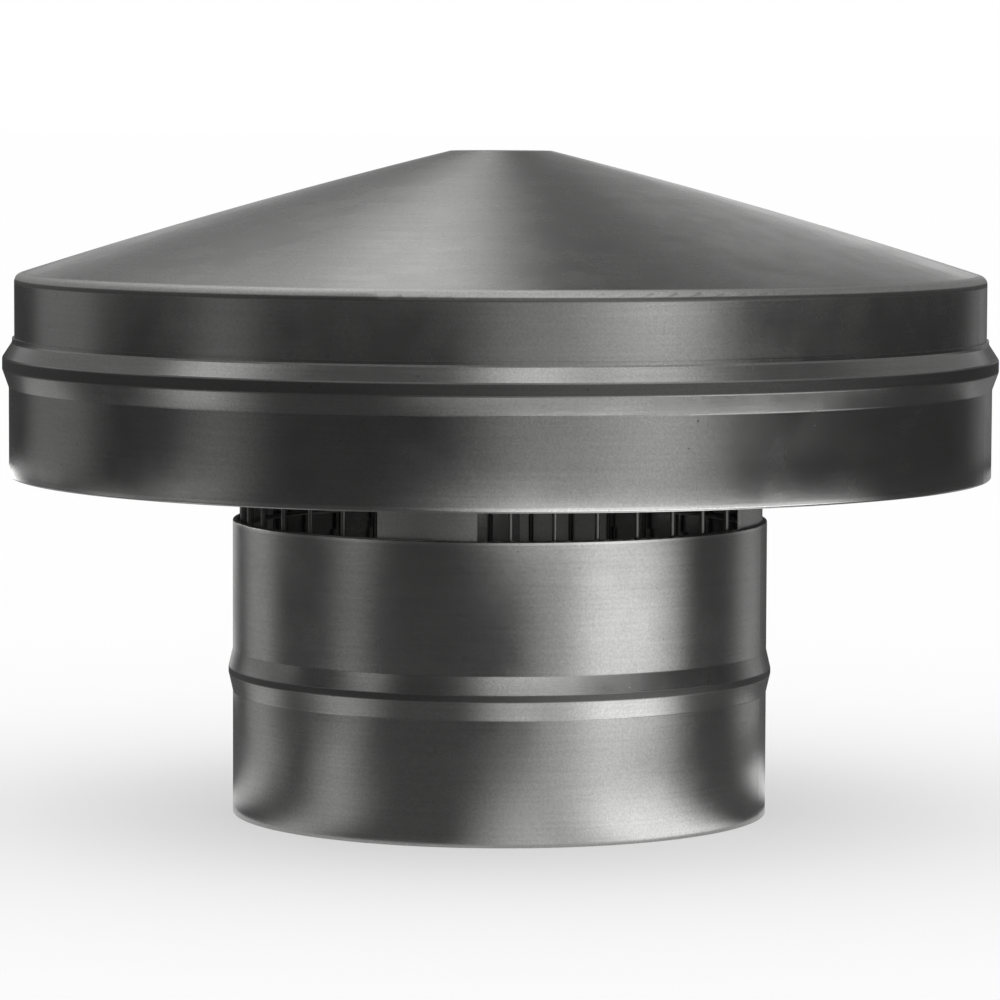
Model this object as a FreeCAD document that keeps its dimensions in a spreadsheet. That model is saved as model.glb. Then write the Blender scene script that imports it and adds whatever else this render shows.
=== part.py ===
import FreeCAD, Part
import math
import os

import Sketcher

# Roof vent cowl for a 160 mm duct, in sheet steel. Millimetres, +Z up.
# The origin is on the axis at the spigot's bottom rim, on which the cowl stands.

# Driving dimensions
SIZES = [
    # sheet and joints
    ("sheet_wall", 0.6, "thickness of the hat, skirt and spigot sheet"),
    ("seat_clearance", 0.05, "gap left where one formed piece seats on another"),
    ("hem_gap", 0.1, "gap left inside a closed hem"),
    ("hem_depth", 8.0, "how far a hem is folded back"),
    ("root_bend", 1.0, "outside bend radius where a bead leaves its wall"),
    ("crest_bend", 1.2, "outside bend radius on a bead's crest"),
    # hat
    ("hat_radius", 144.0, "outside radius of the hat's wall"),
    ("hat_base", 127.0, "height of the hat's lower edge"),
    ("eave_height", 159.9, "height where roof and wall would meet in a sharp corner"),
    ("eave_bend", 2.6, "outside bend radius of the eave"),
    ("tip_height", 196.8, "height of the flat tip"),
    ("tip_radius", 15.0, "radius of the flat tip"),
    ("tip_bend", 1.5, "outside bend radius around the flat tip"),
    ("crown_radius", 2000.0, "radius of the roof's slight outward crown"),
    # skirt
    ("skirt_step", 1.05, "how far the skirt's wall stands out from its collar"),
    ("skirt_base", 100.8, "height of the skirt's lower rim"),
    ("skirt_collar", 1.2, "height of the collar that grips the hat above the bead"),
    ("skirt_bead_root", 127.0, "height where the skirt's bead starts"),
    ("skirt_bead_rise", 5.3, "height of the bead's lower slope"),
    ("skirt_bead_crest", 3.5, "height of the bead's upright crest"),
    ("skirt_bead_fall", 4.5, "height of the bead's upper slope"),
    ("skirt_bead_out", 1.9, "how far the bead stands out from the skirt's wall"),
    # spigot
    ("spigot_radius", 79.6, "outside radius of the spigot"),
    ("spigot_height", 87.6, "height of the spigot"),
    ("spigot_bead_root", 36.3, "height where the spigot's bead starts"),
    ("spigot_bead_rise", 5.6, "height of the bead's lower slope"),
    ("spigot_bead_crest", 1.5, "height of the bead's upright crest"),
    ("spigot_bead_fall", 5.6, "height of the bead's upper slope"),
    ("spigot_bead_out", 1.3, "how far the bead stands out from the spigot"),
    # brackets
    ("strap_wall", 0.8, "thickness of a bracket strap"),
    ("strap_width", 29.5, "width of a bracket strap"),
    ("strap_depth", 20.0, "how far a strap reaches down inside the spigot"),
    ("strap_foot", 18.0, "length of the foot that lies under the roof"),
    ("strap_bend", 1.5, "inside bend radius of the foot"),
    # bird guard
    ("wire_size", 1.4, "diameter of the guard's wire"),
    ("mesh_pitch", 12.7, "spacing of the guard's hoops"),
    ("hoop_count", 8, "number of hoops"),
    ("upright_count", 38, "number of upright wires"),
    ("guard_angle", -81.7, "angle of the first upright wire from +X, in degrees"),
    ("guard_stub", 5.0, "length of upright wire past the end hoops"),
    ("first_hoop", -2.5, "height of the second hoop's centre from the spigot's rim"),
]

# The angle of each bracket from +X, in degrees
BRACKETS = {"bracket_right": 0, "bracket_back": 90, "bracket_left": 180, "bracket_front": 270}
# The turn that a bracket's blank is spun through, wider than any strap, in degrees
BLANK_TURN = 40
FULL_TURN = 360

doc = FreeCAD.newDocument("roof_vent_cowl")
sheet = doc.addObject("Spreadsheet::Sheet", "Sizes")
for line, (alias, value, note) in enumerate(SIZES, start=1):
    sheet.set("A%d" % line, alias)
    sheet.set("B%d" % line, str(value))
    sheet.set("C%d" % line, note)
    sheet.setAlias("B%d" % line, alias)
doc.recompute()

# Lengths that several pieces share, worked out from the driving dimensions
SHARED = {
    "hem_bend": "Sizes.sheet_wall + Sizes.hem_gap / 2",
    "collar_radius": "Sizes.hat_radius + Sizes.seat_clearance + Sizes.sheet_wall",
    "skirt_radius": "Shared.collar_radius + Sizes.skirt_step",
    "skirt_crest_radius": "Shared.skirt_radius + Sizes.skirt_bead_out",
    "skirt_crest_base": "Sizes.skirt_bead_root + Sizes.skirt_bead_rise",
    "skirt_crest_top": "Shared.skirt_crest_base + Sizes.skirt_bead_crest",
    "collar_base": "Shared.skirt_crest_top + Sizes.skirt_bead_fall",
    "skirt_top": "Shared.collar_base + Sizes.skirt_collar",
    "spigot_crest_radius": "Sizes.spigot_radius + Sizes.spigot_bead_out",
    "spigot_crest_base": "Sizes.spigot_bead_root + Sizes.spigot_bead_rise",
    "spigot_crest_top": "Shared.spigot_crest_base + Sizes.spigot_bead_crest",
    "spigot_bead_top": "Shared.spigot_crest_top + Sizes.spigot_bead_fall",
    "strap_outside": "Sizes.spigot_radius - 2 * Shared.hem_bend - Sizes.seat_clearance",
    "strap_inside": "Shared.strap_outside - Sizes.strap_wall",
    "strap_base": "Sizes.spigot_height - Sizes.strap_depth",
    "foot_end": "Shared.strap_outside + Sizes.strap_foot",
    "foot_top_crown": "Sizes.crown_radius - Sizes.sheet_wall - Sizes.seat_clearance",
    "foot_under_crown": "Shared.foot_top_crown - Sizes.strap_wall",
    "upright_radius": "Shared.strap_inside - Sizes.seat_clearance - Sizes.wire_size / 2",
    "hoop_radius": "Shared.upright_radius - Sizes.wire_size - Sizes.seat_clearance",
    "hoop_base": "Sizes.spigot_height + Sizes.first_hoop - Sizes.mesh_pitch",
    "guard_base": "Shared.hoop_base - Sizes.guard_stub",
    "hoop_span": "(Sizes.hoop_count - 1) * Sizes.mesh_pitch",
    "guard_height": "Shared.hoop_span + 2 * Sizes.guard_stub",
}
shared = doc.addObject("Spreadsheet::Sheet", "Shared")
for line, (alias, formula) in enumerate(SHARED.items(), start=1):
    shared.set("A%d" % line, alias)
    shared.setAlias("B%d" % line, alias)
for line, (alias, formula) in enumerate(SHARED.items(), start=1):
    shared.set("B%d" % line, "=" + formula.replace("Shared.", ""))
doc.recompute()


def size(name):
    """The present value of a cell in either sheet."""
    owner = shared if name in SHARED else sheet
    return float(owner.get(name))


def cell(name):
    """The expression that reads a cell."""
    return ("Shared." if name in SHARED else "Sizes.") + name


def new_body(label):
    body = doc.addObject("PartDesign::Body", label)
    body.Label = label
    return body


def plane(body, role):
    return next(item for item in body.Origin.OriginFeatures if item.Role == role)


def new_sketch(body, name, role="XZ_Plane"):
    sketch = body.newObject("Sketcher::SketchObject", name)
    sketch.AttachmentSupport = [(plane(body, role), "")]
    sketch.MapMode = "FlatFace"
    return sketch


def bind(sketch, kind, places, formula):
    """Adds a dimension between the given places and ties it to an expression."""
    value = float(sketch.evalExpression(formula))
    row = sketch.addConstraint(Sketcher.Constraint(kind, *places, value))
    sketch.setExpression("Constraints[%d]" % row, formula)


def pin(sketch, curve, end, across, up):
    """Ties a point to its distance from the axis and its height; None leaves one free."""
    for kind, formula, axis in (("DistanceX", across, -2), ("DistanceY", up, -1)):
        if formula == "0":
            sketch.addConstraint(Sketcher.Constraint("PointOnObject", curve, end, axis))
        elif formula is not None:
            bind(sketch, kind, (-1, 1, curve, end), formula)


def join(sketch, first, first_end, second, second_end):
    sketch.addConstraint(Sketcher.Constraint("Coincident", first, first_end, second, second_end))


def crown_arc(sketch, inner, outer, radius_formula):
    """A flat arc, bulging upwards, that runs from its outer end to its inner end."""
    radius = float(sketch.evalExpression(radius_formula))
    middle = (inner + outer) * 0.5
    along = outer - inner
    drop = math.sqrt(radius ** 2 - (along.Length / 2) ** 2)
    centre = middle + FreeCAD.Vector(along.y, -along.x, 0).normalize() * drop
    angles = [math.atan2(point.y - centre.y, point.x - centre.x) for point in (outer, inner)]
    circle = Part.Circle(centre, FreeCAD.Vector(0, 0, 1), radius)
    curve = sketch.addGeometry(Part.ArcOfCircle(circle, *angles), False)
    bind(sketch, "Radius", (curve,), radius_formula)
    return curve


def sheet_outline(sketch, corners):
    """Draws a strip of sheet. Its outside face runs through corners given as expression pairs,
    and its inside face lies one sheet thickness nearer the axis."""
    wall = size("sheet_wall")
    outer = [
        FreeCAD.Vector(*(float(sketch.evalExpression(formula)) for formula in corner), 0)
        for corner in corners
    ]
    normals = []
    for start, end in zip(outer, outer[1:]):
        along = (end - start).normalize()
        normals.append(FreeCAD.Vector(-along.y, along.x, 0))
    inner = [outer[0] + normals[0] * wall]
    for corner, before, after in zip(outer[1:-1], normals, normals[1:]):
        both = before + after
        inner.append(corner + both * (wall * 2 / both.Length ** 2))
    inner.append(outer[-1] + normals[-1] * wall)
    faces = []
    for points in (outer, inner):
        faces.append([
            sketch.addGeometry(Part.LineSegment(start, end), False)
            for start, end in zip(points, points[1:])
        ])
    for lines in faces:
        for before, after in zip(lines, lines[1:]):
            join(sketch, before, 2, after, 1)
    outer_lines, inner_lines = faces
    for line, corner in zip(outer_lines, corners):
        pin(sketch, line, 1, *corner)
    pin(sketch, outer_lines[-1], 2, *corners[-1])
    pin(sketch, inner_lines[0], 1, None, corners[0][1])
    pin(sketch, inner_lines[-1], 2, None, corners[-1][1])
    for outer_line, inner_line in zip(outer_lines, inner_lines):
        for end in (1, 2):
            bind(sketch, "Distance", (inner_line, end, outer_line), "Sizes.sheet_wall")
    for row, end in ((0, 1), (-1, 2)):
        places = [sketch.getPoint(lines[row], end) for lines in faces]
        edge = sketch.addGeometry(Part.LineSegment(*places), False)
        join(sketch, edge, 1, outer_lines[row], end)
        join(sketch, edge, 2, inner_lines[row], end)
    return outer_lines, inner_lines


def spin(body, sketch, name):
    """Turns a section all the way round the axis."""
    turned = body.newObject("PartDesign::Revolution", name)
    turned.Profile = sketch
    turned.ReferenceAxis = (sketch, ["V_Axis"])
    turned.Angle = FULL_TURN
    doc.recompute()
    return turned


def rings_at(feature, places):
    """Names the circular edges whose radius and height are in the list."""
    names = []
    for number, edge in enumerate(feature.Shape.Edges, start=1):
        if not isinstance(edge.Curve, Part.Circle):
            continue
        for radius, height in places:
            here = abs(edge.Curve.Radius - radius) < 1e-4
            if here and abs(edge.Curve.Center.z - height) < 1e-4:
                names.append("Edge%d" % number)
    return names


def bend(body, feature, name, places, formula):
    """Rounds the rings at the given places with one bend radius."""
    rounded = body.newObject("PartDesign::Fillet", name)
    rounded.Base = (feature, rings_at(feature, places))
    rounded.setExpression("Radius", formula)
    doc.recompute()
    return rounded


def rolled_hem(body, name, wall_radius, rim, side):
    """Adds the closed hem that folds inwards at a rim; side is 1 at a top rim, -1 at a lower one."""
    sketch = new_sketch(body, name + "_section")
    centre_across = wall_radius + " - Shared.hem_bend"
    centre_up = rim + (" - " if side > 0 else " + ") + "Shared.hem_bend"
    across = float(sketch.evalExpression(centre_across))
    up = float(sketch.evalExpression(centre_up))
    outer = size("hem_bend")
    inner = size("hem_gap") / 2
    leg = size("hem_depth") * side
    middle = FreeCAD.Vector(across, up, 0)
    normal = FreeCAD.Vector(0, 0, 1)
    span = (0, math.pi) if side > 0 else (math.pi, 2 * math.pi)
    wall_end, leg_end = (1, 2) if side > 0 else (2, 1)
    arcs = [
        sketch.addGeometry(Part.ArcOfCircle(Part.Circle(middle, normal, radius), *span), False)
        for radius in (outer, inner)
    ]
    corners = [(across - outer, up), (across - outer, up - leg), (across - inner, up - leg),
               (across - inner, up)]
    places = [FreeCAD.Vector(*corner, 0) for corner in corners]
    leg_lines = [
        sketch.addGeometry(Part.LineSegment(places[row], places[row + 1]), False) for row in range(3)
    ]
    root = sketch.addGeometry(
        Part.LineSegment(
            FreeCAD.Vector(across + inner, up, 0), FreeCAD.Vector(across + outer, up, 0)
        ),
        False,
    )
    join(sketch, arcs[0], leg_end, leg_lines[0], 1)
    join(sketch, leg_lines[0], 2, leg_lines[1], 1)
    join(sketch, leg_lines[1], 2, leg_lines[2], 1)
    join(sketch, leg_lines[2], 2, arcs[1], leg_end)
    join(sketch, arcs[1], wall_end, root, 1)
    join(sketch, root, 2, arcs[0], wall_end)
    join(sketch, arcs[0], 3, arcs[1], 3)
    pin(sketch, arcs[0], 3, centre_across, centre_up)
    bind(sketch, "Radius", (arcs[0],), "Shared.hem_bend")
    bind(sketch, "Radius", (arcs[1],), "Sizes.hem_gap / 2")
    for line in (leg_lines[0], leg_lines[2]):
        sketch.addConstraint(Sketcher.Constraint("Vertical", line))
    sketch.addConstraint(Sketcher.Constraint("Horizontal", leg_lines[1]))
    sketch.addConstraint(Sketcher.Constraint("Horizontal", root))
    for line, end in ((leg_lines[0], 1), (leg_lines[2], 2), (root, 1)):
        sketch.addConstraint(Sketcher.Constraint("Horizontal", arcs[0], 3, line, end))
    low, high = ((leg_lines[0], 2), (arcs[0], 3)) if side > 0 else ((arcs[0], 3), (leg_lines[0], 2))
    bind(sketch, "DistanceY", (*low, *high), "Sizes.hem_depth")
    return spin(body, sketch, name)


def roof_line(sketch):
    """Draws the sharp roof line, from eave to tip, that the hat and bracket feet follow."""
    tip = FreeCAD.Vector(size("tip_radius"), size("tip_height"), 0)
    eave = FreeCAD.Vector(size("hat_radius"), size("eave_height"), 0)
    guide = crown_arc(sketch, tip, eave, "Sizes.crown_radius")
    sketch.setConstruction(guide, True)
    pin(sketch, guide, 1, "Sizes.hat_radius", "Sizes.eave_height")
    pin(sketch, guide, 2, "Sizes.tip_radius", "Sizes.tip_height")
    return guide, sketch.Geometry[guide].Center


def bend_arc(sketch, middle, radius_formula, first, last):
    """An arc about a middle point, anticlockwise from one point to another."""
    radius = float(sketch.evalExpression(radius_formula))
    angles = [math.atan2(point.y - middle.y, point.x - middle.x) for point in (first, last)]
    circle = Part.Circle(middle, FreeCAD.Vector(0, 0, 1), radius)
    curve = sketch.addGeometry(Part.ArcOfCircle(circle, *angles), False)
    bind(sketch, "Radius", (curve,), radius_formula)
    return curve


def roof_skin(sketch, guide, centre, inset, inset_formula):
    """Draws one face of the hat from its lower edge to the axis, inset from the outside."""
    crown = size("crown_radius") - inset
    wall_across = size("hat_radius") - inset
    tip_up = size("tip_height") - inset
    eave_bend = size("eave_bend") - inset
    tip_bend = size("tip_bend") - inset
    eave_across = wall_across - eave_bend
    eave_up = centre.y + math.sqrt((crown - eave_bend) ** 2 - (eave_across - centre.x) ** 2)
    tip_low = tip_up - tip_bend
    tip_across = centre.x + math.sqrt((crown - tip_bend) ** 2 - (tip_low - centre.y) ** 2)
    eave_middle = FreeCAD.Vector(eave_across, eave_up, 0)
    tip_middle = FreeCAD.Vector(tip_across, tip_low, 0)
    eave_start = centre + (eave_middle - centre).normalize() * crown
    tip_end = centre + (tip_middle - centre).normalize() * crown
    wall_low = FreeCAD.Vector(wall_across, size("hat_base"), 0)
    wall_top = FreeCAD.Vector(wall_across, eave_up, 0)
    tip_start = FreeCAD.Vector(tip_across, tip_up, 0)
    on_axis = FreeCAD.Vector(0, tip_up, 0)
    wall = sketch.addGeometry(Part.LineSegment(wall_low, wall_top), False)
    eave = bend_arc(sketch, eave_middle, "Sizes.eave_bend" + inset_formula, wall_top, eave_start)
    roof = crown_arc(sketch, tip_end, eave_start, "Sizes.crown_radius" + inset_formula)
    tip = bend_arc(sketch, tip_middle, "Sizes.tip_bend" + inset_formula, tip_end, tip_start)
    flat = sketch.addGeometry(Part.LineSegment(tip_start, on_axis), False)
    join(sketch, roof, 3, guide, 3)
    for before, after in ((wall, eave), (eave, roof), (roof, tip), (tip, flat)):
        sketch.addConstraint(Sketcher.Constraint("Tangent", before, 2, after, 1))
    pin(sketch, wall, 1, "Sizes.hat_radius" + inset_formula, "Sizes.hat_base")
    sketch.addConstraint(Sketcher.Constraint("Vertical", wall))
    sketch.addConstraint(Sketcher.Constraint("Horizontal", flat))
    pin(sketch, flat, 2, "0", "Sizes.tip_height" + inset_formula)
    return wall, flat


def make_hat():
    """The spun roof: flat tip, crowned cone, rounded eave and a plain wall."""
    body = new_body("hat")
    sketch = new_sketch(body, "hat_section")
    guide, centre = roof_line(sketch)
    outer_wall, outer_flat = roof_skin(sketch, guide, centre, 0, "")
    inner_wall, inner_flat = roof_skin(
        sketch, guide, centre, size("sheet_wall"), " - Sizes.sheet_wall"
    )
    for first, first_end, last, last_end in (
        (outer_wall, 1, inner_wall, 1), (outer_flat, 2, inner_flat, 2)
    ):
        edge = sketch.addGeometry(
            Part.LineSegment(sketch.getPoint(first, first_end), sketch.getPoint(last, last_end)),
            False,
        )
        join(sketch, edge, 1, first, first_end)
        join(sketch, edge, 2, last, last_end)
    spin(body, sketch, "hat_sheet")
    return body


def beaded_tube(label, corners, roots, crests):
    """A sheet tube with a rolled bead. Roots and crests say which corners are bent which way."""
    body = new_body(label)
    sketch = new_sketch(body, label + "_section")
    faces = sheet_outline(sketch, corners)
    feature = spin(body, sketch, label + "_sheet")
    bends = (
        ("_root_outside", faces[0], roots, "Sizes.root_bend"),
        ("_root_inside", faces[1], roots, "Sizes.root_bend + Sizes.sheet_wall"),
        ("_crest_outside", faces[0], crests, "Sizes.crest_bend"),
        ("_crest_inside", faces[1], crests, "Sizes.crest_bend - Sizes.sheet_wall"),
    )
    for name, lines, rows, formula in bends:
        points = [sketch.getPoint(lines[row], 1) for row in rows]
        places = [(point.x, point.y) for point in points]
        feature = bend(body, feature, label + name, places, formula)
    return body


def make_skirt():
    """The ring below the roof: beaded at the top, hemmed inwards at its lower rim."""
    rim_start = "Sizes.skirt_base + Shared.hem_bend"
    root = ("Shared.skirt_radius", "Sizes.skirt_bead_root")
    crest_low = ("Shared.skirt_crest_radius", "Shared.skirt_crest_base")
    crest_top = ("Shared.skirt_crest_radius", "Shared.skirt_crest_top")
    collar = ("Shared.collar_radius", "Shared.collar_base")
    top = ("Shared.collar_radius", "Shared.skirt_top")
    body = beaded_tube(
        "skirt",
        [("Shared.skirt_radius", rim_start), root, crest_low, crest_top, collar, top],
        roots=(1, 4),
        crests=(2, 3),
    )
    rolled_hem(body, "skirt_hem", "Shared.skirt_radius", "Sizes.skirt_base", -1)
    return body


def make_spigot():
    """The tube that enters the duct: plain below, beaded as a stop, hemmed at the top."""
    rim_start = "Sizes.spigot_height - Shared.hem_bend"
    root = ("Sizes.spigot_radius", "Sizes.spigot_bead_root")
    crest_low = ("Shared.spigot_crest_radius", "Shared.spigot_crest_base")
    crest_top = ("Shared.spigot_crest_radius", "Shared.spigot_crest_top")
    over = ("Sizes.spigot_radius", "Shared.spigot_bead_top")
    body = beaded_tube(
        "spigot",
        [("Sizes.spigot_radius", "0"), root, crest_low, crest_top, over,
         ("Sizes.spigot_radius", rim_start)],
        roots=(1, 4),
        crests=(2, 3),
    )
    rolled_hem(body, "spigot_hem", "Sizes.spigot_radius", "Sizes.spigot_height", 1)
    return body


def make_bracket(label, angle):
    """A strap rolled to the spigot, with a foot bent out to lie under the roof."""
    body = new_body(label)
    sketch = new_sketch(body, label + "_section")
    roof, centre = roof_line(sketch)

    def under_roof(radius, crown):
        """The point at that distance from the axis on an arc about the crown's centre."""
        rise = math.sqrt(size(crown) ** 2 - (radius - centre.x) ** 2)
        return FreeCAD.Vector(radius, centre.y + rise, 0)

    outside = size("strap_outside")
    inside = size("strap_inside")
    end = size("foot_end")
    base = size("strap_base")
    top = crown_arc(sketch, under_roof(inside, "foot_top_crown"), under_roof(end, "foot_top_crown"),
                    "Shared.foot_top_crown")
    under = crown_arc(sketch, under_roof(outside, "foot_under_crown"),
                      under_roof(end, "foot_under_crown"), "Shared.foot_under_crown")
    for arc in (top, under):
        join(sketch, arc, 3, roof, 3)
    route = [
        (under_roof(inside, "foot_top_crown"), FreeCAD.Vector(inside, base, 0)),
        (FreeCAD.Vector(inside, base, 0), FreeCAD.Vector(outside, base, 0)),
        (FreeCAD.Vector(outside, base, 0), under_roof(outside, "foot_under_crown")),
        (under_roof(end, "foot_under_crown"), under_roof(end, "foot_top_crown")),
    ]
    lines = [sketch.addGeometry(Part.LineSegment(*ends), False) for ends in route]
    join(sketch, top, 2, lines[0], 1)
    join(sketch, lines[0], 2, lines[1], 1)
    join(sketch, lines[1], 2, lines[2], 1)
    join(sketch, lines[2], 2, under, 2)
    join(sketch, under, 1, lines[3], 1)
    join(sketch, lines[3], 2, top, 1)
    pin(sketch, lines[0], 2, "Shared.strap_inside", "Shared.strap_base")
    pin(sketch, lines[1], 2, "Shared.strap_outside", "Shared.strap_base")
    pin(sketch, lines[0], 1, "Shared.strap_inside", None)
    pin(sketch, lines[2], 2, "Shared.strap_outside", None)
    pin(sketch, lines[3], 1, "Shared.foot_end", None)
    pin(sketch, lines[3], 2, "Shared.foot_end", None)

    blank = body.newObject("PartDesign::Revolution", label + "_blank")
    blank.Profile = sketch
    blank.ReferenceAxis = (sketch, ["V_Axis"])
    blank.Angle = BLANK_TURN
    blank.Midplane = True
    doc.recompute()
    corner = under_roof(outside, "foot_under_crown")
    heel = under_roof(inside, "foot_top_crown")
    bent = bend(body, blank, label + "_inner_bend", [(outside, corner.y)], "Sizes.strap_bend")
    bent = bend(body, bent, label + "_outer_bend", [(inside, heel.y)],
                "Sizes.strap_bend + Sizes.strap_wall")

    sides = new_sketch(body, label + "_sides", "XY_Plane")
    reach = size("foot_end") * 2
    half = size("strap_width") / 2
    for side in (1, -1):
        box = [(0, half * side), (reach, half * side), (reach, reach * side), (0, reach * side)]
        points = [FreeCAD.Vector(*corner, 0) for corner in box]
        edges = [
            sides.addGeometry(Part.LineSegment(points[row], points[(row + 1) % 4]), False)
            for row in range(4)
        ]
        for row in range(4):
            join(sides, edges[row], 2, edges[(row + 1) % 4], 1)
        for row, kind in enumerate(("Horizontal", "Vertical", "Horizontal", "Vertical")):
            sides.addConstraint(Sketcher.Constraint(kind, edges[row]))
        sides.addConstraint(Sketcher.Constraint("PointOnObject", edges[0], 1, -2))
        bind(sides, "DistanceX", (edges[0], 1, edges[0], 2), "Shared.foot_end * 2")
        ends = (edges[0], 1, edges[3], 1) if side > 0 else (edges[3], 1, edges[0], 1)
        bind(sides, "DistanceY", ends, "Shared.foot_end * 2")
        ends = (-1, 1, edges[0], 1) if side > 0 else (edges[0], 1, -1, 1)
        bind(sides, "DistanceY", ends, "Sizes.strap_width / 2")
    trim = body.newObject("PartDesign::Pocket", label + "_trim")
    trim.Profile = sides
    trim.Type = 1
    trim.Midplane = True
    doc.recompute()
    body.Placement = FreeCAD.Placement(
        FreeCAD.Vector(), FreeCAD.Rotation(FreeCAD.Vector(0, 0, 1), angle)
    )
    return body


def wire_body(label, sketch_name, role, across, up):
    """A body that may hold several loose wires, with the first wire's round section."""
    body = new_body(label)
    body.AllowCompound = True
    sketch = new_sketch(body, sketch_name, role)
    place = FreeCAD.Vector(
        float(sketch.evalExpression(across)), float(sketch.evalExpression(up)) if up != "0" else 0, 0
    )
    section = Part.Circle(place, FreeCAD.Vector(0, 0, 1), size("wire_size") / 2)
    curve = sketch.addGeometry(section, False)
    bind(sketch, "Diameter", (curve,), "Sizes.wire_size")
    pin(sketch, curve, 3, across, up)
    return body, sketch


def make_guard_uprights():
    """The guard's upright wires, evenly spaced round the inside of the straps."""
    body, sketch = wire_body(
        "guard_upright_wires", "upright_section", "XY_Plane", "Shared.upright_radius", "0"
    )
    sketch.setExpression("AttachmentOffset.Base.z", "Shared.guard_base")
    wire = body.newObject("PartDesign::Pad", "upright")
    wire.Profile = sketch
    wire.setExpression("Length", "Shared.guard_height")
    doc.recompute()
    row = body.newObject("PartDesign::PolarPattern", "upright_ring")
    row.Originals = [wire]
    row.Axis = (sketch, ["N_Axis"])
    row.Angle = FULL_TURN
    row.setExpression("Occurrences", "Sizes.upright_count")
    body.Tip = row
    body.setExpression("Placement.Rotation.Angle", "Sizes.guard_angle")
    doc.recompute()
    return body


def make_guard_hoops():
    """The guard's hoops, inside the upright wires and level with each other."""
    body, sketch = wire_body(
        "guard_hoop_wires", "hoop_section", "XZ_Plane", "Shared.hoop_radius", "Shared.hoop_base"
    )
    hoop = spin(body, sketch, "hoop")
    stack = body.newObject("PartDesign::LinearPattern", "hoop_stack")
    stack.Originals = [hoop]
    stack.Direction = (sketch, ["V_Axis"])
    stack.setExpression("Length", "Shared.hoop_span")
    stack.setExpression("Occurrences", "Sizes.hoop_count")
    body.Tip = stack
    doc.recompute()
    return body


def check_document():
    """Stops if anything in the document failed."""
    for item in doc.Objects:
        broken = [word for word in ("Invalid", "Error") if word in item.State]
        if broken:
            raise RuntimeError("%s: %s" % (item.Label, broken))


def check_shape(body):
    shape = body.Shape
    if shape.isNull() or not shape.isValid():
        raise RuntimeError(body.Label + " has no valid shape")


pieces = [make_hat(), make_skirt(), make_spigot()]
pieces += [make_bracket(label, angle) for label, angle in BRACKETS.items()]
pieces += [make_guard_uprights(), make_guard_hoops()]
doc.recompute()
check_document()
os.makedirs("parts", exist_ok=True)
for piece in pieces:
    check_shape(piece)
for piece in pieces:
    piece.Shape.exportStep("parts/%s.step" % piece.Label)
    print(piece.Label, "solids", len(piece.Shape.Solids), "volume", round(piece.Shape.Volume, 1))
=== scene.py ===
import math

import bmesh
import bpy
from mathutils import Matrix, Vector

# A sheet steel roof vent cowl in a plain white studio. Metres, +Z up, axis at the origin.

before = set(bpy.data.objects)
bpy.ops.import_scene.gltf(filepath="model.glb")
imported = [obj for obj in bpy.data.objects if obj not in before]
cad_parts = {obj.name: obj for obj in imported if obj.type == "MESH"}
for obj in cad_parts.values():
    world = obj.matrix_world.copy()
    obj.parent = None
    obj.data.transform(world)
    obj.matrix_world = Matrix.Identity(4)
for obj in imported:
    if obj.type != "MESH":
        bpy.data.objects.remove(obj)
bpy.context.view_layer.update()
MM = 0.001

# Camera: azimuth counted from -Y towards +X, angles in degrees
VIEW_AZIMUTH = 15.6
VIEW_DISTANCE = 1.479
EYE_HEIGHT = 0.211
VIEW_PITCH = 4.568
VIEW_ROLL = 0.2
LENS_MM = 179.1
SENSOR_MM = 36.0
NEAR_CLIP = 0.05
FAR_CLIP = 50.0

# Colours of the studio and of the bare steels
FLOOR_COLOUR = "#C4C4C4"
FLOOR_LIFT = 0.44
FLOOR_REACH = 30.0
SHEET_COLOUR = "#A2A2A1"
STRAP_COLOUR = "#B3B3B2"
# The wire's dark grey is painted shade from the hat above the guard.
SHADED_WIRE_COLOUR = "#60605F"

# Sizes of the marks on the sheet: fine grain, turning marks and cloudy patches.
# The real grain is too fine for the picture, so it is drawn about two picture points wide.
GRAIN_SIZE = 0.6 * MM
TURNING_PITCH = 0.7 * MM
TURNING_LENGTH = 30 * MM
CLOUD_SIZE = 14 * MM
SPECK_SPACING = 9 * MM
SPECK_CORE = 0.18 * MM
SPECK_RIM = 0.45 * MM

# How strongly each pattern shows: tones beside the bare sheet, a share of roughness, and the depth of
# the turning marks. Noise lies within NOISE_LOW and NOISE_HIGH nearly everywhere.
NOISE_LOW = 0.3
NOISE_HIGH = 0.7
GRAIN_TONES = (0.9, 1.1)
TURNING_TONES = (0.96, 1.04)
SPECK_TONE = 0.6
CLOUD_ROUGHNESS = 0.03
TURNING_DEPTH = 0.02 * MM
TURNING_RELIEF = 0.1

# The turning marks lie along the tangent round the axis, so light spreads a quarter turn from it.
QUARTER_TURN = 0.25

# Painted light bands round a piece: middle height, half height, tone beside the bare sheet, and roughness.
# The dull, darker band on each bead's crest is painted shade. The bright bands at the eave and hems
# are painted highlights, and the dull dark line where the eave's bend runs into the wall is a painted dark
# reflection.
# Painted highlight: the sheet's colour is brightened along the eave's bend.
EAVE_PAINTED_HIGHLIGHT = (159.75 * MM, 0.7 * MM, 1.8, 0.55)
# Painted dark reflection: the sheet's colour is darkened where the eave's bend runs into the wall.
EAVE_PAINTED_DARK_REFLECTION = (158.15 * MM, 0.35 * MM, 0.5, 0.55)
# Painted shade: the skirt bead's crest is darkened.
SKIRT_CREST_PAINTED_SHADE = (134.05 * MM, 1.4 * MM, 0.35, 0.6)
# Painted highlight: the skirt's lower hem is brightened.
SKIRT_HEM_PAINTED_HIGHLIGHT = (101.2 * MM, 0.8 * MM, 1.3, 0.25)
# Painted shade: the spigot bead's crest is darkened.
SPIGOT_CREST_PAINTED_SHADE = (42.65 * MM, 0.75 * MM, 0.35, 0.6)
# Painted highlight: the spigot's top hem is brightened.
SPIGOT_HEM_PAINTED_HIGHLIGHT = (87.3 * MM, 0.8 * MM, 1.3, 0.25)
MARK_EDGE = 0.5 * MM

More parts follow.
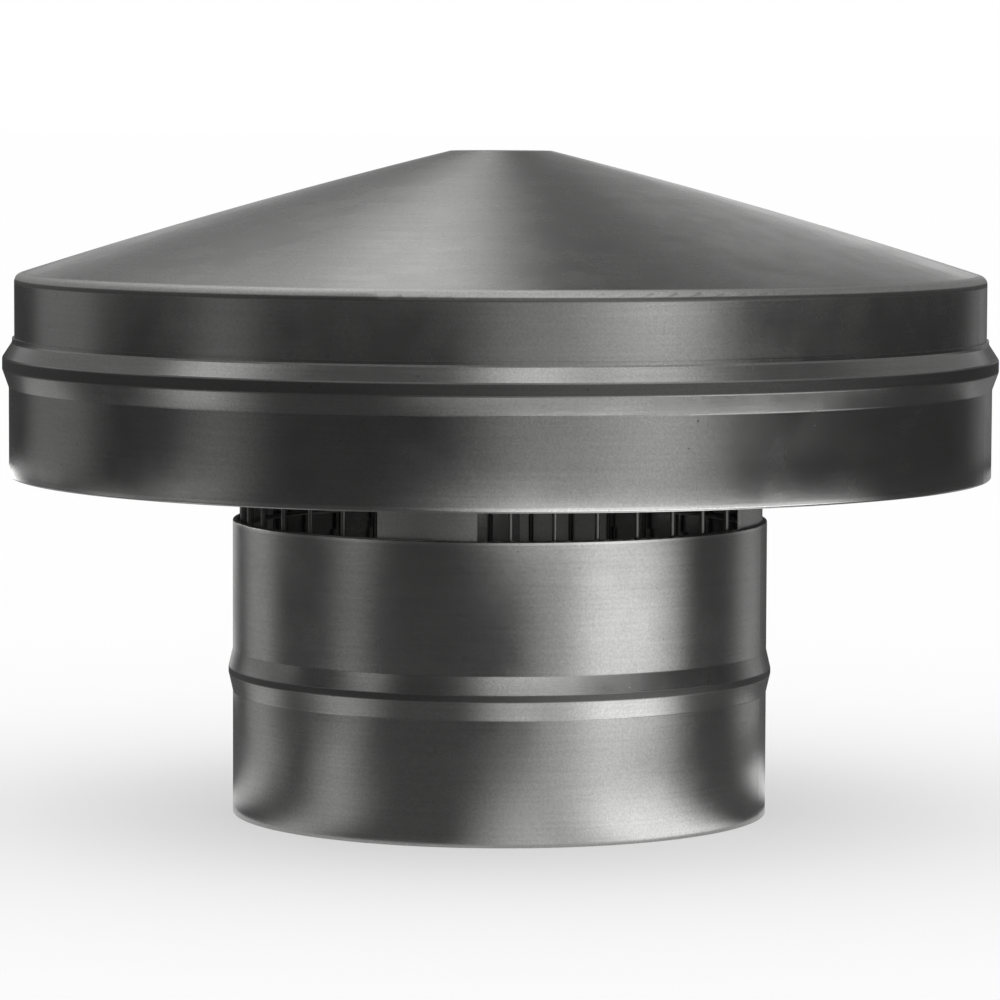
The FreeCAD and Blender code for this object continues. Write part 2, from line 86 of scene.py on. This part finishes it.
# Reflectors round the cowl, in metres and degrees. Each is a band (lower radius and height, upper radius
# and height), the level of its dark ground, and its soft boxes. Each box has its angle round from the
# camera to the right, half its width, its soft edge, and its level.
CARD_SIDES = 90
REFLECTORS = {
    "spigot_card": ((0.32, 0.0006, 0.32, 0.072), 0.09, {
        "key": (45, 15, 10, 2.0),
        "key_tail": (66, 7, 8, 1.0),
        "key_edge": (20, 7, 10, 0.55),
        "fill_left": (-58, 5, 9, 0.27),
        "rim_left": (-113, 12, 8, 0.4),
        "back_left": (-153, 10, 10, 0.6),
        "rim_right": (122, 10, 12, 0.4),
    }),
    "slope_card": ((0.172, 0.0875, 0.172, 0.0985), 0.07, {
        "key": (24, 25, 10, 2.8),
        "fill_left": (-58, 7, 7, 0.5),
        "rim_left": (-110, 14, 8, 2.4),
        "rim_right": (108, 12, 8, 0.4),
    }),
    "lip_card": ((0.2, 0.0815, 0.2, 0.099), 0.07, {
        "key": (5, 13, 12, 0.95),
        "key_tail": (22, 5, 8, 0.3),
        "fill_left": (-48, 6, 8, 0.8),
        "rim_left": (-95, 14, 8, 0.4),
    }),
    "skirt_card": ((0.32, 0.072, 0.32, 0.160), 0.05, {
        "key": (27, 9, 11, 0.75),
        "key_edge": (7, 7, 11, 0.4),
        "fill_left": (-52, 5, 8, 0.2),
        "rim_left": (-100, 14, 6, 0.2),
        "rim_right": (129, 10, 10, 0.2),
    }),
    "bead_card": ((0.32, 0.160, 0.32, 0.180), 0.07, {
        "key": (28, 11, 10, 2.0),
        "key_edge": (5, 8, 10, 0.3),
        "rim_left": (-100, 14, 10, 0.3),
    }),
    "near_floor": ((0.082, 0.0005, 0.17, 0.0005), 0.12, {
        "key": (42, 18, 12, 2.0),
        "key_edge": (8, 10, 12, 0.9),
        "fill_left": (-52, 8, 12, 0.5),
        "rim_left": (-100, 12, 10, 0.6),
        "rim_right": (116, 12, 12, 0.9),
    }),
    "far_floor": ((0.17, 0.0005, 0.25, 0.0005), 0.11, {
        "key": (22, 15, 14, 0.8),
        "key_right": (42, 8, 10, 0.3),
        "fill_left": (-62, 8, 8, 0.8),
        "rim_left": (-100, 14, 8, 0.4),
    }),
    "outer_floor": ((0.25, 0.0005, 0.32, 0.0005), 0.1, {
        "key": (51, 16, 10, 0.6),
        "key_edge": (24, 7, 10, 0.45),
        "fill_left": (-58, 6, 9, 0.3),
        "rim_left": (-110, 12, 8, 0.4),
        "rim_right": (120, 10, 12, 0.5),
    }),
    "low_sky": ((1.09, 0.15, 1.03, 0.38), 0.4, {
        "behind_right": (170, 8, 4, 0.5),
        "behind_left": (-168, 4, 3, 0.2),
    }),
    "middle_sky": ((1.03, 0.38, 0.82, 0.73), 0.26, {
        "behind_right": (167, 5, 4, 0.25),
        "front_right": (30, 20, 15, 0.3),
    }),
    "high_sky": ((0.82, 0.73, 0.376, 1.03), 0.12, {
        "behind_left": (-172.5, 6.5, 5.5, 1.25),
        "front": (10, 13, 12, 1.35),
        "front_right": (43, 13, 10, 1.2),
        "side_left": (-80, 10, 8, 1.1),
        "back_left": (-145, 15, 10, 1.1),
    }),
    "top_sky": ((0.376, 1.03, 0.001, 1.10), 0.28, {
        "left": (-150, 30, 20, 1.5),
        "side_left": (-90, 20, 10, 2.0),
        "right": (150, 30, 20, 0.6),
    }),
}


def linear(hex_colour):
    """Linear red, green and blue of an sRGB hex colour."""
    values = [int(hex_colour[place:place + 2], 16) / 255 for place in (1, 3, 5)]
    return [v / 12.92 if v <= 0.04045 else ((v + 0.055) / 1.055) ** 2.4 for v in values]


def add_node(tree, kind, settings=None, values=None, links=None):
    """Adds a shader node with its settings, socket values and links."""
    node = tree.nodes.new(kind)
    for name, value in (settings or {}).items():
        setattr(node, name, value)
    for socket, value in (values or {}).items():
        node.inputs[socket].default_value = value
    for socket, source in (links or {}).items():
        tree.links.new(source, node.inputs[socket])
    return node


def blank_material(name):
    """A material with an empty shader tree."""
    material = bpy.data.materials.new(name)
    material.use_nodes = True
    material.node_tree.nodes.clear()
    return material, material.node_tree


def toward(azimuth, distance, height):
    """A point at that azimuth, counted from the camera to its right."""
    turn = math.radians(VIEW_AZIMUTH + azimuth)
    return Vector((math.sin(turn) * distance, -math.cos(turn) * distance, height))


def put_in_studio(name, shape, material):
    """Makes a studio object of a finished bmesh."""
    mesh = bpy.data.meshes.new(name)
    shape.to_mesh(mesh)
    shape.free()
    mesh.materials.append(material)
    thing = bpy.data.objects.new(name, mesh)
    bpy.context.scene.collection.objects.link(thing)
    return thing


def make_camera():
    """A long lens, a little above the cowl's eave, that looks slightly down."""
    turn = math.radians(VIEW_AZIMUTH)
    pitch = math.radians(VIEW_PITCH)
    roll = math.radians(VIEW_ROLL)
    level = Vector((math.cos(turn), math.sin(turn), 0))
    ahead = math.cos(pitch)
    along = Vector((-math.sin(turn) * ahead, math.cos(turn) * ahead, -math.sin(pitch)))
    above = level.cross(along)
    right = level * math.cos(roll) + above * math.sin(roll)
    up = above * math.cos(roll) - level * math.sin(roll)
    camera = bpy.data.objects.new("camera", bpy.data.cameras.new("camera"))
    bpy.context.scene.collection.objects.link(camera)
    camera.data.lens = LENS_MM
    camera.data.sensor_width = SENSOR_MM
    camera.data.dof.use_dof = False
    camera.data.clip_start = NEAR_CLIP
    camera.data.clip_end = FAR_CLIP
    stand = Matrix((right, up, -along)).transposed().to_4x4()
    camera.matrix_world = Matrix.Translation(toward(0, VIEW_DISTANCE, EYE_HEIGHT)) @ stand
    bpy.context.scene.camera = camera


def make_floor():
    """A white floor that keeps the cowl's soft shadow."""
    material, tree = blank_material("white_floor")
    board = add_node(tree, "ShaderNodeBsdfDiffuse", None, {"Color": (*linear(FLOOR_COLOUR), 1)})
    path = add_node(tree, "ShaderNodeLightPath")
    sight = add_node(tree, "ShaderNodeMath", {"operation": "ADD"}, None,
                     {0: path.outputs["Is Camera Ray"], 1: path.outputs["Is Glossy Ray"]})
    shown = add_node(tree, "ShaderNodeMath", {"operation": "ADD", "use_clamp": True}, None,
                     {0: sight.outputs[0], 1: path.outputs["Is Transmission Ray"]})
    lift = add_node(tree, "ShaderNodeMath", {"operation": "MULTIPLY"}, {1: FLOOR_LIFT},
                    {0: shown.outputs[0]})
    light = add_node(tree, "ShaderNodeEmission", None, None, {"Strength": lift.outputs[0]})
    both = add_node(tree, "ShaderNodeAddShader", None, None, {0: board.outputs[0], 1: light.outputs[0]})
    add_node(tree, "ShaderNodeOutputMaterial", None, None, {"Surface": both.outputs[0]})
    sheet = bmesh.new()
    bmesh.ops.create_grid(sheet, x_segments=1, y_segments=1, size=FLOOR_REACH)
    put_in_studio("floor", sheet, material)


def make_world():
    """An even white surround, which is the studio's soft light and its background."""
    world = bpy.data.worlds.new("studio")
    bpy.context.scene.world = world
    world.use_nodes = True
    tree = world.node_tree
    tree.nodes.clear()
    light = add_node(tree, "ShaderNodeBackground", None, {"Color": (1, 1, 1, 1), "Strength": 1.0})
    add_node(tree, "ShaderNodeOutputWorld", None, None, {"Surface": light.outputs[0]})


def make_reflector(name, band, ground, boxes):
    """A round card that only the metal sees, with soft boxes that fade into its dark ground."""
    material, tree = blank_material(name)
    place = add_node(tree, "ShaderNodeTexCoord")
    flat = add_node(tree, "ShaderNodeVectorMath", {"operation": "MULTIPLY"}, {1: (1, 1, 0)},
                    {0: place.outputs["Object"]})
    way = add_node(tree, "ShaderNodeVectorMath", {"operation": "NORMALIZE"}, None, {0: flat.outputs[0]})
    total = None
    for box, (azimuth, half, edge, level) in boxes.items():
        near_box = add_node(tree, "ShaderNodeVectorMath", {"operation": "DOT_PRODUCT"},
                            {1: toward(azimuth, 1, 0)}, {0: way.outputs[0]})
        angle = add_node(tree, "ShaderNodeMath", {"operation": "ARCCOSINE"}, None,
                         {0: near_box.outputs["Value"]})
        glow = add_node(tree, "ShaderNodeMapRange",
                        {"interpolation_type": "SMOOTHSTEP", "name": name + "/" + box},
                        {"From Min": math.radians(max(half - edge, 0)),
                         "From Max": math.radians(half + edge), "To Min": level, "To Max": 0.0},
                        {"Value": angle.outputs[0]})
        if total is None:
            total = add_node(tree, "ShaderNodeMath", {"operation": "ADD"}, {1: ground},
                             {0: glow.outputs["Result"]})
        else:
            total = add_node(tree, "ShaderNodeMath", {"operation": "ADD"}, None,
                             {0: total.outputs[0], 1: glow.outputs["Result"]})
    light = add_node(tree, "ShaderNodeEmission", None, None, {"Strength": total.outputs[0]})
    add_node(tree, "ShaderNodeOutputMaterial", None, None, {"Surface": light.outputs[0]})
    near, bottom, far, top = band
    card = bmesh.new()
    bmesh.ops.create_cone(card, cap_ends=False, segments=CARD_SIDES, radius1=near, radius2=far,
                          depth=top - bottom, matrix=Matrix.Translation((0, 0, (bottom + top) / 2)))
    thing = put_in_studio(name, card, material)
    thing.visible_camera = False
    thing.visible_shadow = False
    thing.visible_diffuse = False
    thing.visible_transmission = False


def steel(name, colour, roughness, spread, marks=()):
    """Bare cold-rolled steel: mid grey and satin, with fine grain, turning marks and cloudy patches.

    Spread is how much further light spreads across the turning marks than along them.
    """
    material, tree = blank_material(name)
    place = add_node(tree, "ShaderNodeTexCoord").outputs["Object"]
    grain = add_node(tree, "ShaderNodeTexNoise", None,
                     {"Scale": 1 / GRAIN_SIZE, "Detail": 2.0, "Roughness": 0.6}, {"Vector": place})
    stretched = add_node(tree, "ShaderNodeMapping", None,
                         {"Scale": (1 / TURNING_LENGTH, 1 / TURNING_LENGTH, 1 / TURNING_PITCH)},
                         {"Vector": place})
    turning = add_node(tree, "ShaderNodeTexNoise", None, {"Scale": 1.0, "Detail": 2.0},
                       {"Vector": stretched.outputs[0]})
    cloud = add_node(tree, "ShaderNodeTexNoise", None, {"Scale": 1 / CLOUD_SIZE, "Detail": 2.0},
                     {"Vector": place})
    specks = add_node(tree, "ShaderNodeTexVoronoi", None, {"Scale": 1 / SPECK_SPACING}, {"Vector": place})
    grain_tone = add_node(tree, "ShaderNodeMapRange", None,
                          {"From Min": NOISE_LOW, "From Max": NOISE_HIGH,
                           "To Min": GRAIN_TONES[0], "To Max": GRAIN_TONES[1]},
                          {"Value": grain.outputs["Fac"]})
    turning_tone = add_node(tree, "ShaderNodeMapRange", None,
                            {"From Min": NOISE_LOW, "From Max": NOISE_HIGH,
                             "To Min": TURNING_TONES[0], "To Max": TURNING_TONES[1]},
                            {"Value": turning.outputs["Fac"]})
    speck_tone = add_node(tree, "ShaderNodeMapRange", None,
                          {"From Min": SPECK_CORE / SPECK_SPACING, "From Max": SPECK_RIM / SPECK_SPACING,
                           "To Min": SPECK_TONE, "To Max": 1.0},
                          {"Value": specks.outputs["Distance"]})
    sheet_tone = add_node(tree, "ShaderNodeMath", {"operation": "MULTIPLY"}, None,
                          {0: grain_tone.outputs["Result"], 1: turning_tone.outputs["Result"]})
    tone = add_node(tree, "ShaderNodeMath", {"operation": "MULTIPLY"}, None,
                    {0: sheet_tone.outputs[0], 1: speck_tone.outputs["Result"]}).outputs[0]
    satin = add_node(tree, "ShaderNodeMapRange", None,
                     {"From Min": NOISE_LOW, "From Max": NOISE_HIGH,
                      "To Min": roughness - CLOUD_ROUGHNESS, "To Max": roughness + CLOUD_ROUGHNESS},
                     {"Value": cloud.outputs["Fac"]}).outputs["Result"]
    height = add_node(tree, "ShaderNodeSeparateXYZ", None, None, {0: place}).outputs["Z"]
    # Each band multiplies the sheet's colour at one height: painted highlights where its tone is above 1,
    # painted shade where it is below.
    for middle, half, mark_tone, mark_roughness in marks:
        offset = add_node(tree, "ShaderNodeMath", {"operation": "SUBTRACT"}, {1: middle}, {0: height})
        away = add_node(tree, "ShaderNodeMath", {"operation": "ABSOLUTE"}, None, {0: offset.outputs[0]})
        mark = add_node(tree, "ShaderNodeMapRange", {"interpolation_type": "SMOOTHSTEP"},
                        {"From Min": half, "From Max": half + MARK_EDGE, "To Min": 1.0, "To Max": 0.0},
                        {"Value": away.outputs[0]})
        shade = add_node(tree, "ShaderNodeMapRange", None, {"To Min": 1.0, "To Max": mark_tone},
                         {"Value": mark.outputs["Result"]})
        tone = add_node(tree, "ShaderNodeMath", {"operation": "MULTIPLY"}, None,
                        {0: tone, 1: shade.outputs["Result"]}).outputs[0]
        satin = add_node(tree, "ShaderNodeMix", {"data_type": "FLOAT"}, {3: mark_roughness},
                         {0: mark.outputs["Result"], 2: satin}).outputs[0]
    skin = add_node(tree, "ShaderNodeVectorMath", {"operation": "SCALE"}, {0: linear(colour)},
                    {"Scale": tone})
    relief = add_node(tree, "ShaderNodeBump", None, {"Strength": TURNING_RELIEF, "Distance": TURNING_DEPTH},
                      {"Height": turning.outputs["Fac"]})
    around = add_node(tree, "ShaderNodeTangent", {"direction_type": "RADIAL", "axis": "Z"})
    shader = add_node(tree, "ShaderNodeBsdfPrincipled", None,
                      {"Metallic": 1.0, "Anisotropic": spread, "Anisotropic Rotation": QUARTER_TURN},
                      {"Base Color": skin.outputs[0], "Roughness": satin, "Normal": relief.outputs[0],
                       "Tangent": around.outputs[0]})
    add_node(tree, "ShaderNodeOutputMaterial", None, None, {"Surface": shader.outputs[0]})
    return material


def finish_pieces():
    """Gives each piece its steel."""
    # Spun on a former: its rings pull each light on the cone into a soft fan.
    spun = steel("spun_hat_steel", SHEET_COLOUR, roughness=0.27, spread=0.55, marks=[EAVE_PAINTED_HIGHLIGHT, EAVE_PAINTED_DARK_REFLECTION])
    # Rolled from flat sheet: cleaner satin, so that lights stand in it as upright soft bands.
    skirt = steel("rolled_skirt_steel", SHEET_COLOUR, roughness=0.25, spread=0.2,
                  marks=[SKIRT_CREST_PAINTED_SHADE, SKIRT_HEM_PAINTED_HIGHLIGHT])
    spigot = steel("rolled_spigot_steel", SHEET_COLOUR, roughness=0.25, spread=0.2,
                   marks=[SPIGOT_CREST_PAINTED_SHADE, SPIGOT_HEM_PAINTED_HIGHLIGHT])
    # Pickled strip: matt, with an even mid grey and no clear reflection.
    strap = steel("matt_strap_steel", STRAP_COLOUR, roughness=0.45, spread=0.0)
    # Drawn and welded wire: its dark grey is painted shade from the hat above, with a dull gleam along it.
    wire = steel("drawn_wire_steel", SHADED_WIRE_COLOUR, roughness=0.35, spread=0.0)
    finishes = {"hat": spun, "skirt": skirt, "spigot": spigot}
    for name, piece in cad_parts.items():
        plain = wire if name.endswith("_wires") else strap
        piece.data.materials.clear()
        piece.data.materials.append(finishes.get(name, plain))


make_camera()
make_floor()
make_world()
for name, (band, ground, boxes) in REFLECTORS.items():
    make_reflector(name, band, ground, boxes)
finish_pieces()

bpy.context.scene.view_settings.view_transform = "Standard"
